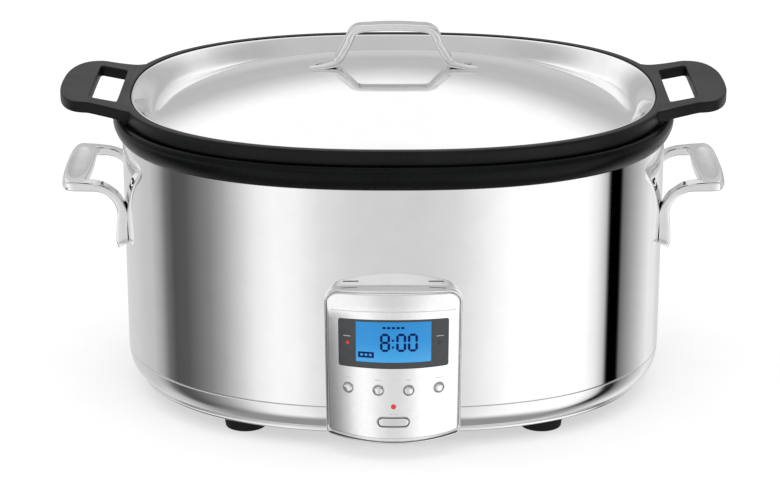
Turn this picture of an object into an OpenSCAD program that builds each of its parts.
// Oval programmable slow cooker: polished housing, cast lift-out insert, domed metal lid.
// Millimetres, +Z up, origin on the table under the middle of the whole appliance,
// control panel towards -Y, carrying handles towards -X and +X.
// Every oval ring is the housing's outline moved in or out by an offset in millimetres.

/* [Housing] */
// Length of the housing wall along X
body_len = 390; // [320:5:480]
// Depth of the housing wall along Y
body_dep = 320; // [265:5:385]
// Squareness of the oval plan, 2 is an ellipse
squareness = 2.38; // [2.1:0.02:3]
// Thickness of the outer wall sheet
wall_t = 0.9; // [0.6:0.1:1.4]
// Height of the skirt's lower lip above the table
lip_h = 9.5; // [8:0.5:13]
// Height of the skirt that closes the housing's lower edge
skirt_h = 22.5; // [18:0.5:27]
// How far the skirt curves in under the housing
skirt_in = 8.4; // [4:0.2:12]
// Room under the liner for the power electronics
base_room = 50; // [44:1:70]

/* [Insert] */
// Inside depth of the lift-out insert
insert_depth = 127; // [105:1:155]
// Wall thickness of the insert's floor
insert_t = 4.3; // [3:0.1:6]
// Air gap between the insert and the liner wall
insert_gap = 2.9; // [2:0.1:5]
// Air gap between the insert's floor and the liner's floor
under_gap = 21.2; // [16:0.2:30]
// Reach of each insert handle past the housing wall
grip_reach = 43.5; // [36:0.5:56]
// Depth of each insert handle along Y
grip_dep = 114; // [96:1:138]
// Length of the hand hole in an insert handle along Y
grip_hole = 83; // [68:1:92]
// Thickness of an insert handle
grip_t = 8; // [6:0.5:10]

/* [Lid] */
// Sheet thickness of the lid
lid_t = 1; // [0.8:0.1:1.4]
// How far the lid's crease lies below the insert's rim
lid_dip = 13.9; // [11:0.1:16]
// Rise of the dome above the crease
dome_rise = 30.6; // [24:0.2:38]
// Half the length of the lid handle's grip bar
bar_half = 35; // [29:0.5:42]
// Height of the grip bar's top above the insert's rim
bar_top = 47.7; // [39:0.1:57]
// Width of the lid handle's strip
strip_w = 14; // [11:0.5:18]
// Reach of each lid handle foot from the lid's middle
pad_reach = 59.5; // [50:0.5:71]

/* [Side handles] */
// Distance between the outer faces of a side handle's two arms
handle_dep = 98; // [80:1:118]
// Width of one arm
arm_w = 10.5; // [8:0.5:13]
// Reach of the handle past the housing wall
handle_reach = 43.5; // [38:0.5:52]
// Height of the grip's top below the insert's rim
handle_drop = 56.8; // [48:0.2:66]
// Height of a whole side handle
handle_h = 47.5; // [42:0.5:56]

/* [Control panel] */
// Width of the panel
panel_w = 92.6; // [86:0.2:111]
// Height of the panel's front
panel_h = 111; // [107:0.5:133]
// Height of the panel's underside above the table
panel_z = 13; // [10:0.5:16]
// How far the panel's middle stands out from the housing
panel_proud = 22; // [19:0.5:27]
// Radius of the panel's curved front
panel_r = 78; // [70:1:94]
// Thickness of the front plate
face_t = 2.5; // [2:0.1:3]
// Width of the dark display window
window_w = 74; // [62:0.5:80]
// Height of the dark display window
window_h = 34.8; // [31:0.2:37]
// Width of the lit screen
screen_w = 50.6; // [42:0.2:54]
// Height of the lit screen
screen_h = 28.8; // [24:0.2:30]
// Radius of a round button
button_r = 3.22; // [2.7:0.02:3.9]
// Spacing of the round buttons along X
button_pitch = 20.5; // [17:0.1:22]
// Length of the power button
power_w = 21; // [17.5:0.5:25]
// Height of the power button
power_h = 6.2; // [5.2:0.1:7.4]
// Inward travel of every button
press = 1; // [0.6:0.1:1]

/* [Base and fixings] */
// Radius of a rubber foot
foot_r = 16; // [13:0.5:19]
// Distance from a foot's middle to the housing's end
foot_inset_x = 91; // [76:1:109]
// Distance along Y from a foot's middle to the housing's edge
foot_inset_y = 31.83; // [26:0.01:41]
// Radius of the cord grommet's bore
cord_r = 3.8; // [3.2:0.1:4.5]
// Height of the cord grommet above the table
cord_z = 48; // [44:1:56]

/* [Hidden] */

$fn = 64;
// Points round each oval ring, a multiple of four
steps = 64;
half_len = body_len / 2;
half_dep = body_dep / 2;
// Clearance between pieces that lift apart
seat_gap = 0.3;
// Clearance round a sliding button
slide_gap = 0.07;
// Overshoot of a cutting solid past the face that it cuts
over = 1;

// Heights, stacked up from the table
plate_t = 1.5;
plate_z = lip_h + 1;
plate_top = plate_z + plate_t;
seam_z = lip_h + skirt_h;
liner_t = 0.8;
liner_z = plate_top + base_room;
crock_z = liner_z + liner_t + under_gap;
rim_z = crock_z + insert_t + insert_depth;
// The insert's flange is this thick, and hangs on the collar's ledge
flange_h = 11.3;
ledge_z = rim_z - flange_h - seat_gap;
wall_top = ledge_z - 6.5;

// Offsets of nested rings from the housing's outline
collar_out = 6.2;
liner_off = -14;
crock_off = liner_off - insert_gap;
rim_off = -0.4;
recess_off = -6.7;
lid_off = recess_off - 0.4;
crease_off = lid_off - 15.8;
seat_z = rim_z - 3.8;
crease_z = rim_z - lid_dip;
// The dome's rise follows this power of the distance from the middle
dome_power = 2.2;

// Sizes of the panel's parts, measured from the axis of its curved front
bezel_lift = 0.6;
oval_y = (panel_proud + bezel_lift - collar_out) / 2;
panel_front = -(half_dep + panel_proud);
panel_cy = panel_front + panel_r;
tray_t = 2;
tray_side = 1.2;
plate_x = panel_w / 2 - tray_side;
inner_r = panel_r - face_t;
bezel_r = button_r + slide_gap;
bezel_wall = 0.8;
button_z = panel_z + 40.7;
led_z = panel_z + 28.5;
power_z = panel_z + 17.1;
window_z = panel_z + 56.5;
screen_z = window_z + 4.3;
button_x = [for (i = [-1.5:1:1.5]) i * button_pitch];
led_r = 1.8;
status_x = (window_w + screen_w) / 4;
status_z = window_z + window_h / 2;
// Depths inside the panel, from the housing's front towards the faceplate
board_back = half_dep + 0.9;
board_front = board_back + 1.4;
board_z = panel_z + 11;
board_h = panel_h - 26;
module_z = window_z - 0.5;
module_h = window_h + 1;
cable_z = 50;
cable_w = 14;

// Side handle
grip_top = rim_z - handle_drop;
foot_bottom = grip_top - handle_h;
arm_t = 5;
screw_r = 2;
arm_mid = handle_dep / 2 - arm_w / 2;
foot_x = half_len - foot_inset_x;
foot_y = half_dep * pow(1 - pow(foot_x / half_len, squareness), 1 / squareness) - foot_inset_y;
// Panel screws stand as far out as the panel's edge and the curve of its front allow
panel_screw_x = min(panel_w / 2 - 4.5,
                    sqrt(pow(inner_r, 2) - pow(panel_r - panel_proud + 5.75, 2)) - 1.6);

// One point of the oval with half sizes hx and hy, at the angle parameter t
function curve(v, power) = sign(v) * pow(abs(v), power);
function oval_point(hx, hy, t) =
    [hx * curve(cos(t), 2 / squareness), hy * curve(sin(t), 2 / squareness)];
// The housing's outline moved out by off
function oval(off) =
    [for (i = [0:steps - 1]) oval_point(half_len + off, half_dep + off, 360 * i / steps)];
// Half the oval's length at the depth y
function oval_x(off, y) =
    (half_len + off) * pow(1 - pow(abs(y) / (half_dep + off), squareness), 1 / squareness);
// Points along an arc
function arc(cx, cy, r, a0, a1, n = 8) =
    [for (i = [0:n]) let (a = a0 + (a1 - a0) * i / n) [cx + r * cos(a), cy + r * sin(a)]];
// A rectangle with its lower corners rounded by rb and its upper ones by rt
function soft_rect(x, y0, y1, rb, rt) =
    concat(arc(-x + rb, y0 + rb, rb, 180, 270), arc(x - rb, y0 + rb, rb, 270, 360),
           arc(x - rt, y1 - rt, rt, 0, 90), arc(-x + rt, y1 - rt, rt, 90, 180));
// Turns [offset, height] points into rings of [half length, half depth, height]
function rings(profile) = [for (p = profile) [half_len + p[0], half_dep + p[0], p[1]]];

// Skin through oval rings: a closed loop of rings, or a run of rings with a cap at each end.
// The profile runs anticlockwise, with outwards to the right and up upwards.
module oval_loft(list, loop) {
    n = steps;
    m = len(list);
    points = [for (r = list) for (i = [0:n - 1])
              let (p = oval_point(r[0], r[1], 360 * i / n)) [p[0], p[1], r[2]]];
    sides = [for (j = [0:(loop ? m : m - 1) - 1]) for (i = [0:n - 1])
             let (a = j * n + i, b = j * n + (i + 1) % n)
             let (c = ((j + 1) % m) * n + (i + 1) % n, d = ((j + 1) % m) * n + i)
             for (f = [[a, d, c], [a, c, b]]) f];
    caps = loop ? [] : [[for (i = [0:n - 1]) i], [for (i = [n - 1:-1:0]) (m - 1) * n + i]];
    polyhedron(points, concat(sides, caps));
}

// The whole appliance is drawn round the oval's middle, then moved back by oval_y
module placed() {
    translate([0, oval_y, 0]) children();
}

module oval_prism(off, z0, z1) {
    translate([0, 0, z0]) linear_extrude(z1 - z0) polygon(oval(off));
}

module oval_band(outer, inner, z0, z1) {
    translate([0, 0, z0]) linear_extrude(z1 - z0) difference() {
        polygon(oval(outer));
        polygon(oval(inner));
    }
}

// An outline in X and Z, extruded along Y from y0 back to y1
module along_y(y0, y1) {
    translate([0, y1, 0]) rotate([90, 0, 0]) linear_extrude(y1 - y0) children();
}

// An outline in Y and Z, extruded along X over the width w
module along_x(w) {
    rotate([90, 0, 90]) linear_extrude(w, center = true) children();
}

module rod_y(r, y0, y1, x, z) {
    translate([x, y1, z]) rotate([90, 0, 0]) cylinder(r = r, h = y1 - y0);
}

module rod_x(r, x0, x1, y, z) {
    translate([x0, y, z]) rotate([0, 90, 0]) cylinder(r = r, h = x1 - x0);
}

module on_both_sides() {
    children();
    mirror([1, 0, 0]) children();
}

module in_four_corners(x, y) {
    for (sx = [-1, 1]) for (sy = [-1, 1]) translate([sx * x, sy * y, 0]) children();
}

// ---- housing ----

module handle_screw_holes(r) {
    on_both_sides() for (sy = [-1, 1])
        rod_x(r, half_len - 14, half_len + 2, sy * arm_mid, foot_bottom + 10);
}

module panel_screw_holes(r, y0, y1) {
    for (sx = [-1, 1]) for (z = [panel_z + 29, panel_z + panel_h - 12])
        rod_y(r, y0, y1, sx * panel_screw_x, z);
}

// Half of the wall's sheet, in front (side -1) or behind (side 1), meeting behind the side handles
module wall_half(side) {
    joint = 0.05;
    length = body_len + 2 * over;
    intersection() {
        oval_band(0, -wall_t, seam_z, wall_top);
        translate([-length / 2, side > 0 ? joint : -half_dep - over, seam_z - over])
            cube([length, half_dep + over - joint, wall_top - seam_z + 2 * over]);
    }
}

module front_wall() {
    color("gainsboro") placed() difference() {
        wall_half(-1);
        handle_screw_holes(screw_r);
        panel_screw_holes(1.6, -half_dep - 4, -half_dep + 8);
        along_y(-half_dep - over, -half_dep + 6)
            polygon(soft_rect(cable_w / 2 + 2, cable_z - 4, cable_z + 5, 1, 1));
    }
}

module back_wall() {
    color("gainsboro") placed() difference() {
        wall_half(1);
        handle_screw_holes(screw_r);
        rod_y(cord_r + 3, half_dep - 6, half_dep + 3, 0, cord_z);
    }
}

// Curved skirt with a thin rolled lip and an upstand inside the wall
module base_skirt() {
    s = skirt_in;
    top = seam_z - 0.4;
    low = lip_h + 3.3;
    profile = [[-wall_t, top], [-wall_t, seam_z + 6], [-wall_t - 1.2, seam_z + 6],
               [-2.1, top - 5.6], [-0.3 * s - 0.4, top - 8.6], [-0.5 * s, top - 12.6],
               [-0.77 * s, low + 3.6], [-s - 1.2, low + 1.2], [-s - 2.6, low - 0.4],
               [-s - 2.8, lip_h + 0.7], [-s - 1.6, lip_h], [-s - 0.2, lip_h + 0.3],
               [-s + 0.5, low - 2], [-s + 0.3, low - 1], [-s, low], [-0.62 * s, low + 2.6],
               [-0.33 * s, top - 13.1], [-0.14 * s, top - 9.6], [-0.3, top - 5.6], [0, top]];
    color("silver") placed() oval_loft(rings(profile), true);
}

module base_plate() {
    slot_l = 46;
    color("dimgray") placed() difference() {
        oval_prism(-skirt_in - 3, plate_z, plate_top);
        in_four_corners(foot_x, foot_y)
            translate([0, 0, plate_z - over]) cylinder(r = screw_r, h = plate_t + 2 * over);
        in_four_corners(half_len - 75, half_dep - 90)
            translate([0, 0, plate_z - over]) cylinder(r = 2.5, h = plate_t + 2 * over);
        for (sy = [-1, 1]) for (i = [-3:3])
            translate([i * 14 - 2, sy * 100 - slot_l / 2, plate_z - over])
                cube([4, slot_l, plate_t + 2 * over]);
    }
}

// Soft-edged collar with a groove outside the insert's flange and a ledge under it
module collar_ring() {
    z = ledge_z;
    profile = [[0.25, z - 15.2], [3, z - 12.2], [5, z - 8.7], [collar_out, z - 4.7],
               [collar_out - 0.4, z - 1.2], [4, z + 1.3], [2.3, z + 1.8], [1.2, z + 1.1],
               [0.9, z - 1.7], [-0.5, z - 2.7], [-2.5, z - 2.7], [-4, z],
               [liner_off + 1, z], [liner_off + 0.3, z - 0.7], [liner_off + 0.3, wall_top],
               [0.25, wall_top]];
    color("#1c1d1f") placed() oval_loft(rings(profile), true);
}

module inner_liner() {
    outer = liner_off + liner_t;
    color("lightgray") placed() union() {
        oval_prism(outer, liner_z, liner_z + liner_t);
        oval_band(outer, liner_off, liner_z + liner_t, wall_top);
        oval_band(-wall_t - 0.6, outer, wall_top - liner_t, wall_top);
    }
}

// ---- heating and safety parts ----

heater_t = 3;
heater_z = crock_z - 6;
heater_h = 46;
strap_t = 0.6;
heater_off = liner_off + liner_t;

module heater_band() {
    color("tan") placed()
        oval_band(heater_off + heater_t, heater_off, heater_z, heater_z + heater_h);
}

module band_strap() {
    color("darkgray") placed()
        oval_band(heater_off + heater_t + strap_t, heater_off + heater_t,
                  heater_z + 13, heater_z + 33);
}

module thermistor() {
    color("goldenrod") placed() union() {
        translate([0, 0, liner_z - 9]) cylinder(r = 8, h = 9);
        translate([-16, -5, liner_z - 1.5]) cube([32, 10, 1.5]);
        translate([0, 0, liner_z - 15]) cylinder(r = 2, h = 7);
    }
}

module thermal_fuse() {
    x = half_len + heater_off + heater_t + strap_t + 2.5;
    color("white") placed() translate([x, 0, heater_z + 11]) union() {
        cylinder(r = 2.4, h = 24);
        translate([0, 0, -12]) cylinder(r = 0.6, h = 48);
    }
}

module tie_studs() {
    color("silver") placed() in_four_corners(half_len - 75, half_dep - 90)
        translate([0, 0, plate_z - 5]) cylinder(r = 2.5, h = liner_z - plate_z + 5);
}

module tie_nuts() {
    color("silver") placed() in_four_corners(half_len - 75, half_dep - 90)
        translate([0, 0, plate_z - 3.6]) difference() {
            cylinder(r = 4.6, h = 3.6, $fn = 6);
            translate([0, 0, -over]) cylinder(r = 2.5, h = 3.6 + 2 * over);
        }
}

// ---- feet, cord inlet and power electronics ----

foot_head = 2;

module feet() {
    color("#202020") placed() in_four_corners(foot_x, foot_y)
        difference() {
            cylinder(r1 = foot_r - 1.5, r2 = foot_r, h = plate_z);
            translate([0, 0, -over]) cylinder(r = 5.5, h = over + foot_head + 3);
            cylinder(r = screw_r, h = plate_z + over);
        }
}

module foot_screws() {
    color("silver") placed() in_four_corners(foot_x, foot_y)
        union() {
            translate([0, 0, foot_head + 0.4]) cylinder(r = 4, h = 2.6);
            translate([0, 0, foot_head + 3]) cylinder(r = screw_r, h = plate_top - foot_head + 3);
        }
}

module cord_grommet() {
    neck = cord_r + 3;
    color("#222222") placed() difference() {
        union() {
            rod_y(neck, half_dep - wall_t - 4, half_dep + 3, 0, cord_z);
            rod_y(neck + 2, half_dep + 0.05, half_dep + 2.4, 0, cord_z);
            rod_y(neck + 1.6, half_dep - wall_t - 3, half_dep - wall_t - 0.5, 0, cord_z);
        }
        rod_y(cord_r, half_dep - wall_t - 4 - over, half_dep + 3 + over, 0, cord_z);
    }
}

board_y = -20;
board_top = plate_top + 11.6;

module terminal_block() {
    color("ivory") placed() translate([-22, half_dep - 62, plate_top]) difference() {
        cube([44, 16, 16]);
        for (i = [0:2]) translate([8 + i * 14, 8, 8]) cylinder(r = 2.6, h = 16);
    }
}

module board_posts() {
    for (sx = [-1, 1]) for (sy = [-1, 1])
        translate([sx * 50, board_y + sy * 30, 0]) children();
}

module power_board() {
    color("darkgreen") placed() difference() {
        translate([-56, board_y - 36, board_top - 1.6]) cube([112, 72, 1.6]);
        board_posts() translate([0, 0, board_top - 4]) cylinder(r = 1.5, h = 8);
    }
}

module board_standoffs() {
    color("ivory") placed() board_posts() union() {
        translate([0, 0, plate_top]) cylinder(r = 3.5, h = 10);
        translate([0, 0, plate_top + 9]) cylinder(r = 1.5, h = 4);
    }
}

module transformer() {
    color("#3a3f48") placed() translate([-44, board_y - 18, board_top]) union() {
        translate([0, 4, 0]) cube([36, 28, 26]);
        translate([6, 0, 4]) cube([24, 36, 18]);
    }
}

module relay() {
    color("#205080") placed() translate([2, board_y + 8, board_top]) cube([29, 13, 20]);
}

module capacitor() {
    color("#303030") placed() translate([24, board_y - 16, board_top]) cylinder(r = 8, h = 21);
}

// Flat cable from the power board, forward and through the wall to the control board
module ribbon_cable() {
    y0 = board_y - 30;
    y1 = -half_dep + 14;
    z0 = board_top + 1;
    t = 1;
    color("lightsteelblue") placed() along_x(cable_w) polygon([
        [y0, board_top], [y0, z0 + t], [y1 + t, z0 + t], [y1 + t, cable_z + t],
        [-board_back, cable_z + t], [-board_back, cable_z], [y1, cable_z],
        [y1, z0], [y0 - t, z0], [y0 - t, board_top]]);
}

// ---- side handles ----

// Side view of an arm: a foot on the wall, a quarter bend outwards and the grip's end
module arm_outline() {
    x0 = oval_x(0, handle_dep / 2);
    bend = 17;
    cx = x0 + 6.6 + bend;
    cz = grip_top - 7 - bend;
    tip = half_len + handle_reach;
    polygon(concat(
        [[x0 - 3, foot_bottom], [x0 + 5.4, foot_bottom], [x0 + 7, foot_bottom + 3.5]],
        arc(cx, cz, bend, 180, 90),
        arc(tip - 6, grip_top - 1, 6, 270, 360, 4),
        [[tip, grip_top - 1], [tip - 1.6, grip_top], [cx + 6, grip_top - 0.6]],
        arc(cx + 0.5, cz + 0.5, bend + arm_t, 90, 180),
        [[x0 - 3, cz]]));
}

module grip_outline() {
    tip = half_len + handle_reach;
    inner = tip - 18;
    half = handle_dep / 2;
    polygon(concat([[inner, -half + 4], [inner + 2, -half]],
                   [for (i = [-8:8]) let (y = half * sin(i * 90 / 8))
                    [tip - 9 + 9 * pow(1 - pow(abs(y) / (half + 0.01), 2.6), 1 / 2.6), y]],
                   [[inner + 2, half], [inner, half - 4]]));
}

module side_handle() {
    dish_r = 30;
    tip = half_len + handle_reach;
    difference() {
        union() {
            for (y = [-handle_dep / 2, handle_dep / 2 - arm_w]) along_y(y, y + arm_w)
                arm_outline();
            translate([0, 0, grip_top - 7]) linear_extrude(7) grip_outline();
        }
        oval_prism(0.05, foot_bottom - over, grip_top + over);
        rod_y(dish_r, -handle_dep / 2 + 12, handle_dep / 2 - 12, tip - 9.5,
              grip_top + dish_r - 0.8);
        for (sy = [-1, 1]) rod_x(screw_r, half_len - 12, oval_x(0, arm_mid) + 4,
                                 sy * arm_mid, foot_bottom + 10);
    }
}

module right_handle() {
    color("whitesmoke") placed() side_handle();
}

module left_handle() {
    color("whitesmoke") placed() mirror([1, 0, 0]) side_handle();
}

module handle_screws() {
    x = oval_x(-wall_t, arm_mid + 5);
    color("silver") placed() on_both_sides() for (sy = [-1, 1]) union() {
        rod_x(screw_r, x - 1, oval_x(0, arm_mid) + 4, sy * arm_mid, foot_bottom + 10);
        rod_x(3.6, x - 3, x - 0.4, sy * arm_mid, foot_bottom + 10);
    }
}

// ---- control panel ----

// Places its children on the curved front at the distance x from its middle, facing -Y
module on_front(x) {
    translate([0, panel_cy, 0]) rotate([0, 0, asin(x / panel_r)]) children();
}

module front_cylinder(r) {
    translate([0, panel_cy, 0]) cylinder(r = r, h = panel_z + panel_h + 20, $fn = 128);
}

// A plate with the front's curve between two radii, inside an outline in X and Z
module curved_plate(r_out, r_in) {
    intersection() {
        difference() {
            front_cylinder(r_out);
            front_cylinder(r_in);
        }
        along_y(panel_front - 2, -half_dep - 2) children();
    }
}

module pill(grow) {
    r = power_h / 2 + grow;
    for (s = [-1, 1]) translate([s * (power_w - power_h) / 2, power_z]) circle(r = r);
    translate([-(power_w - power_h) / 2, power_z - r]) square([power_w - power_h, 2 * r]);
}

// The tray's top slopes down towards the front
module tray_side_view(inset) {
    top = panel_z + panel_h - inset;
    polygon([[-half_dep + 4, panel_z + inset], [panel_front - 2, panel_z + inset],
             [panel_front - 2, top - 0.5], [-half_dep + 4, top + 3.6]]);
}

module tray_solid(inset, r) {
    intersection() {
        front_cylinder(r);
        along_y(panel_front - 2, -half_dep + 4)
            polygon(soft_rect(panel_w / 2 - inset, panel_z + inset,
                              panel_z + panel_h + 3.4 - inset, 3, 10 - inset));
        along_x(panel_w) tray_side_view(inset);
    }
}

module panel_tray() {
    vent_in = 24.5;
    vent_l = 10.5;
    color("lightgray") placed() difference() {
        tray_solid(0, panel_r - 0.8);
        difference() {
            tray_solid(tray_t, panel_r + 4);
            panel_screw_holes(3.4, -half_dep - 9, -half_dep + 4);
        }
        curved_plate(panel_r + 5, inner_r - 0.05) faceplate_outline(0);
        oval_prism(0.02, panel_z - over, panel_z + panel_h + 8);
        for (sx = [-1, 1]) translate([sx * (vent_in + vent_l / 2), -half_dep - 8, panel_z + panel_h])
            cube([vent_l, 1.6, 12], center = true);
        panel_screw_holes(1.6, -half_dep - 5, -half_dep + 4);
    }
}

module panel_screws() {
    color("silver") placed() union() {
        panel_screw_holes(1.6, -half_dep - 5, -half_dep + 5);
        panel_screw_holes(3, -half_dep + 3.6, -half_dep + 5.6);
    }
}

module faceplate_outline(inset) {
    polygon(soft_rect(plate_x - inset, panel_z + 3 + inset, panel_z + panel_h - 1.5 - inset,
                      2.2, 8.5));
}

module faceplate() {
    color("#d9dbdc") placed() difference() {
        curved_plate(panel_r, inner_r) faceplate_outline(0.15);
        along_y(panel_front - 2, -half_dep - 2) window_outline();
        for (x = button_x) on_front(x)
            rod_y(bezel_r + bezel_wall, -panel_r - 3, -inner_r + 3, 0, button_z);
        along_y(panel_front - 2, -half_dep - 2) pill(0.3 + bezel_wall);
        rod_y(led_r, panel_front - 2, -half_dep - 2, 0, led_z);
    }
}

module window_outline() {
    polygon(soft_rect(window_w / 2, window_z, window_z + window_h, 1.6, 1.6));
}

module screen_outline() {
    polygon(soft_rect(screen_w / 2, screen_z, screen_z + screen_h, 0.5, 0.5));
}

module display_window() {
    color("#3b3d40") placed() difference() {
        curved_plate(panel_r - 0.2, panel_r - 1.9) window_outline();
        along_y(panel_front - 2, -half_dep - 2) screen_outline();
        for (sx = [-1, 1]) on_front(sx * status_x)
            rod_y(1.3, -panel_r - 2, -panel_r + 5, 0, status_z);
    }
}

module lcd_glass() {
    color("#2f9be8") placed() curved_plate(panel_r - 0.3, panel_r - 1.7) screen_outline();
}

// Flat display panel with its backlight, on legs from the control board
module lcd_module() {
    half = screen_w / 2 + 3.5;
    front = panel_cy - sqrt(pow(inner_r, 2) - half * half) + 0.4;
    color("#e8eef2") placed() union() {
        translate([-half, front, module_z]) cube([2 * half, -board_front - 3.5 - front, module_h]);
        for (sx = [-1, 1]) for (z = [module_z + 3, module_z + module_h - 3])
            rod_y(1.4, -board_front - 4, -board_front, sx * (half - 3), z);
    }
}

module control_board() {
    color("darkgreen") placed() translate([-panel_w / 2 + 10.5, -board_front, board_z])
        cube([panel_w - 21, board_front - board_back, board_h]);
}

carrier_out = inner_r - 5.3 - press;
carrier_t = 1.6;
post_front = panel_cy - carrier_out + 2.2;
power_back = panel_front + 8 + press;

// Curved strip behind the four round buttons, and a block behind the power button
module switch_carrier() {
    color("ivory") placed() union() {
        curved_plate(carrier_out, carrier_out - carrier_t)
            translate([-34, button_z - 6]) square([68, 12]);
        for (sx = [-1, 1]) translate([sx * 14 - 2, post_front, button_z - 6])
            cube([4, -board_front - post_front, 12]);
        translate([-6, power_back, power_z - 4]) cube([12, -board_front - power_back, 8]);
    }
}

module tact_switches() {
    color("#303236") placed() union() {
        for (x = button_x) on_front(x) union() {
            translate([-3, -carrier_out - 0.9, button_z - 3]) cube([6, 0.9, 6]);
            rod_y(1.5, -carrier_out - 1.3, -carrier_out - 0.8, 0, button_z);
        }
        translate([-3, power_back - 0.6, power_z - 3]) cube([6, 0.6, 6]);
        rod_y(1.5, power_back - 0.9, power_back - 0.5, 0, power_z);
    }
}

module button_bezels() {
    color("white") placed() for (x = button_x) on_front(x) difference() {
        rod_y(bezel_r + bezel_wall, -panel_r - bezel_lift, -inner_r, 0, button_z);
        rod_y(bezel_r, -panel_r - bezel_lift - over, -inner_r + over, 0, button_z);
    }
}

module power_bezel() {
    color("white") placed() intersection() {
        difference() {
            front_cylinder(panel_r + 0.5);
            front_cylinder(inner_r);
        }
        along_y(panel_front - 2, -half_dep - 2) difference() {
            pill(0.3 + bezel_wall);
            pill(0.3);
        }
    }
}

module red_indicators() {
    color("red") placed() union() {
        rod_y(led_r, panel_front - 0.1, -board_front, 0, led_z);
        on_front(-status_x) rod_y(1.3, -panel_r + 0.15, -panel_r + 2.6, 0, status_z);
    }
}

module dark_indicator() {
    color("#48494b") placed() on_front(status_x)
        rod_y(1.3, -panel_r + 0.15, -panel_r + 2.6, 0, status_z);
}

// ---- lift-out insert ----

flange_z = ledge_z + seat_gap;

// Outline of one insert handle in plan: arms that flare into the rim, and a rounded end
module grip_plan() {
    root = half_len - 12;
    turn = half_len + grip_reach - 24.5;
    half = grip_dep / 2;
    side = concat(
        [for (i = [0:4]) [root + i * 3, half + 5 * pow(1 - i / 4, 2)]],
        [for (i = [0:12]) let (a = i * 90 / 12)
         [turn + 24.5 * pow(sin(a), 0.8), half * pow(cos(a), 0.8)]]);
    polygon(concat(side, [for (i = [len(side) - 2:-1:0]) [side[i][0], -side[i][1]]]));
}

// Side view of one insert handle, rising a little from the rim to the grip
module grip_side_view() {
    tip = half_len + grip_reach;
    rise = 4.9;
    polygon([[half_len - 20, rim_z - 0.3], [half_len - 4, rim_z], [half_len + 6, rim_z + 2.3],
             [half_len + 19, rim_z + rise - 0.2], [tip, rim_z + rise],
             [tip, rim_z + rise - grip_t], [half_len + 19, rim_z + rise - grip_t - 0.2],
             [half_len + 6, rim_z + 2.2 - grip_t], [half_len - 1, flange_z + 2.4],
             [half_len - 20, flange_z + 2.4]]);
}

module insert_grip() {
    hole_in = half_len + 0.5;
    hole_out = half_len + grip_reach - 23.5;
    difference() {
        intersection() {
            translate([0, 0, flange_z]) linear_extrude(30) grip_plan();
            along_y(-grip_dep, grip_dep) grip_side_view();
        }
        oval_prism(recess_off + 1, flange_z - over, rim_z + 20);
        translate([(hole_in + hole_out) / 2, 0, flange_z - over]) linear_extrude(30)
            polygon(soft_rect((hole_out - hole_in) / 2, -grip_hole / 2, grip_hole / 2, 4, 4));
    }
}

module crock() {
    f = flange_z;
    c = crock_z;
    o = crock_off;
    floor_z = c + insert_t;
    outside = [[o - 19, c], [o - 14, c + 1.2], [o - 11, c + 3.8], [o - 9, c + 8],
               [o - 8, c + 14], [o - 4, c + 60], [o, f - 8], [o + 0.9, f - 4],
               [o + 2.3, f - 1], [o + 3.9, f]];
    rim = [[rim_off - 2.2, f], [rim_off - 0.6, f + 1], [rim_off, f + 2.6],
           [rim_off, rim_z - 4.3], [rim_off - 0.5, rim_z - 2.2], [rim_off - 1.6, rim_z - 0.7],
           [rim_off - 3.2, rim_z], [recess_off + 1.1, rim_z], [recess_off + 0.1, rim_z - 0.7],
           [recess_off, seat_z]];
    inside = [[recess_off - 2.3, seat_z], [recess_off - 6.3, seat_z - 4.2],
              [recess_off - 10.3, seat_z - 8.5], [recess_off - 12.9, seat_z - 11.5],
              [o - 3.9, f - 7], [o - 7.9, c + 60], [o - 11.9, floor_z + 13],
              [o - 14, floor_z + 5.5], [o - 18.5, floor_z + 1], [o - 23, floor_z]];
    color("#2b2c2e") placed() union() {
        oval_loft(rings(concat(outside, rim, inside)), false);
        on_both_sides() insert_grip();
    }
}

// ---- lid ----

// Height of the dome's top surface at the share s of the way from the middle to the crease
function dome_height(s) = crease_z + 0.4 + (dome_rise - 0.4) * (1 - pow(s, dome_power));
dome_hx = half_len + crease_off - 1.6;
dome_hy = half_dep + crease_off - 1.6;
function dome_ring(s, drop) = [dome_hx * s, dome_hy * s, dome_height(s) - drop];

module lid_shell() {
    shares = [0.04, 0.16, 0.3, 0.44, 0.58, 0.72, 0.84, 0.93, 1];
    n = len(shares);
    t = lid_t;
    slope_t = 1.35 * t;
    low = [[crease_off, crease_z - t], [crease_off + 2.9, crease_z + 1.8 - slope_t],
           [crease_off + 5.9, crease_z + 4.8 - slope_t],
           [crease_off + 9.9, crease_z + 9.1 - slope_t], [lid_off - 1.9, seat_z + seat_gap],
           [lid_off - 0.2, seat_z + seat_gap]];
    high = [[lid_off, rim_z - 2], [lid_off - 0.5, rim_z - 0.7], [lid_off - 1.9, rim_z - 1.2],
            [crease_off + 9.9, crease_z + 9.1], [crease_off + 5.9, crease_z + 4.8],
            [crease_off + 2.9, crease_z + 1.8], [crease_off, crease_z]];
    color("#e4e6e8") placed() oval_loft(concat(
        [for (s = shares) dome_ring(s, t)], rings(concat(low, high)),
        [for (i = [n - 1:-1:0]) dome_ring(shares[i], 0)]), false);
}

// Height of the lid's top surface on the X axis at the distance x from the middle
function dome_at(x) = dome_height(abs(x) / dome_hx);

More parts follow.
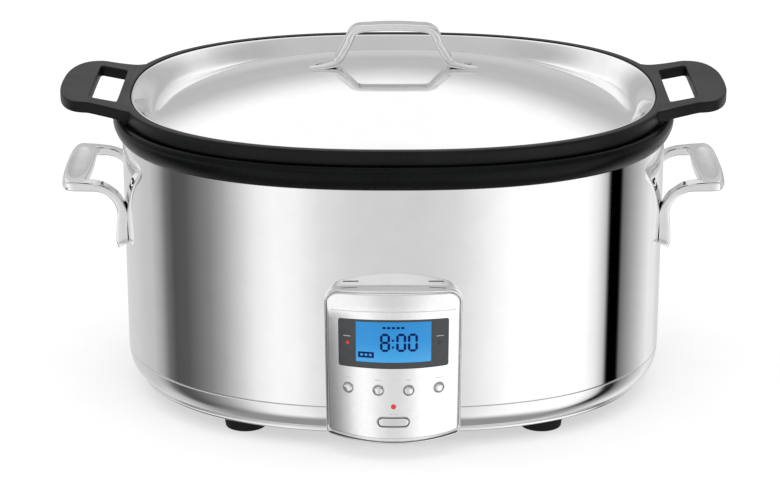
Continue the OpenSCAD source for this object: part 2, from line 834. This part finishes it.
// Bent strip: a foot on the dome, a splayed leg and half of the grip bar
module lid_handle() {
    top = rim_z + bar_top;
    leg_x = bar_half + 6;
    sit = 0.2;
    half = concat(
        [[0, top - 4.6], [bar_half - 8, top - 5.4]],
        arc(bar_half - 8.4, top - 9.4, 4, 85, 12, 4),
        [[leg_x - 4.4, dome_at(leg_x) + 6], [leg_x - 2.2, dome_at(leg_x) + sit],
         [pad_reach, dome_at(pad_reach) + sit], [pad_reach, dome_at(pad_reach) + 3],
         [leg_x + 4.5, dome_at(leg_x) + 2.4], [leg_x + 1.4, dome_at(leg_x) + 3.8],
         [leg_x - 0.2, dome_at(leg_x) + 7]],
        arc(bar_half - 6.6, top - 7.6, 6.4, 12, 85, 5),
        [[bar_half * 0.5, top - 0.4], [0, top]]);
    color("whitesmoke") placed() difference() {
        along_y(-strip_w / 2, strip_w / 2)
            polygon(concat(half, [for (i = [len(half) - 2:-1:1]) [-half[i][0], half[i][1]]]));
        on_both_sides() translate([pad_reach - 7, 0, rim_z]) cylinder(r = 2, h = bar_top / 2);
    }
}

module lid_rivets() {
    x = pad_reach - 7;
    color("silver") placed() on_both_sides() translate([x, 0, dome_at(x)]) union() {
        translate([0, 0, -lid_t - 1.4]) cylinder(r1 = 3.4, r2 = 3.8, h = 1.2);
        translate([0, 0, -lid_t - 0.4]) cylinder(r = 2, h = lid_t + 4);
        translate([0, 0, 3.1]) cylinder(r1 = 3.8, r2 = 2.6, h = 1.3);
    }
}

// ---- buttons ----

// Round cap with a retaining flange and a stem, sliding along the front's radius
module round_button(x) {
    flange_in = inner_r - 1.9;
    on_front(x) union() {
        rod_y(button_r, -panel_r - 1.1, -flange_in, 0, button_z);
        rod_y(button_r - 0.7, -panel_r - 1.6, -panel_r - 1.1, 0, button_z);
        rod_y(button_r + 0.8, -inner_r + 0.3, -flange_in, 0, button_z);
        rod_y(1.4, -flange_in - 0.2, -inner_r + 3.6, 0, button_z);
    }
}

module button_1() {
    color("whitesmoke") placed() round_button(button_x[0]);
}

module button_2() {
    color("whitesmoke") placed() round_button(button_x[1]);
}

module button_3() {
    color("whitesmoke") placed() round_button(button_x[2]);
}

module button_4() {
    color("whitesmoke") placed() round_button(button_x[3]);
}

module power_button() {
    back = panel_front + 5.4;
    color("whitesmoke") placed() union() {
        intersection() {
            front_cylinder(panel_r + 0.8);
            along_y(panel_front - 2, back) pill(0);
        }
        along_y(back - 1.5, back) pill(1.2);
        rod_y(1.4, back - 0.2, back + 1.4, 0, power_z);
    }
}

front_wall();
back_wall();
base_skirt();
base_plate();
collar_ring();
inner_liner();
heater_band();
band_strap();
thermistor();
thermal_fuse();
tie_studs();
tie_nuts();
feet();
foot_screws();
cord_grommet();
terminal_block();
power_board();
board_standoffs();
transformer();
relay();
capacitor();
ribbon_cable();
left_handle();
right_handle();
handle_screws();
panel_tray();
panel_screws();
faceplate();
display_window();
lcd_glass();
lcd_module();
control_board();
switch_carrier();
tact_switches();
button_bezels();
power_bezel();
red_indicators();
dark_indicator();
crock();
lid_shell();
lid_handle();
lid_rivets();
button_1();
button_2();
button_3();
button_4();
power_button();
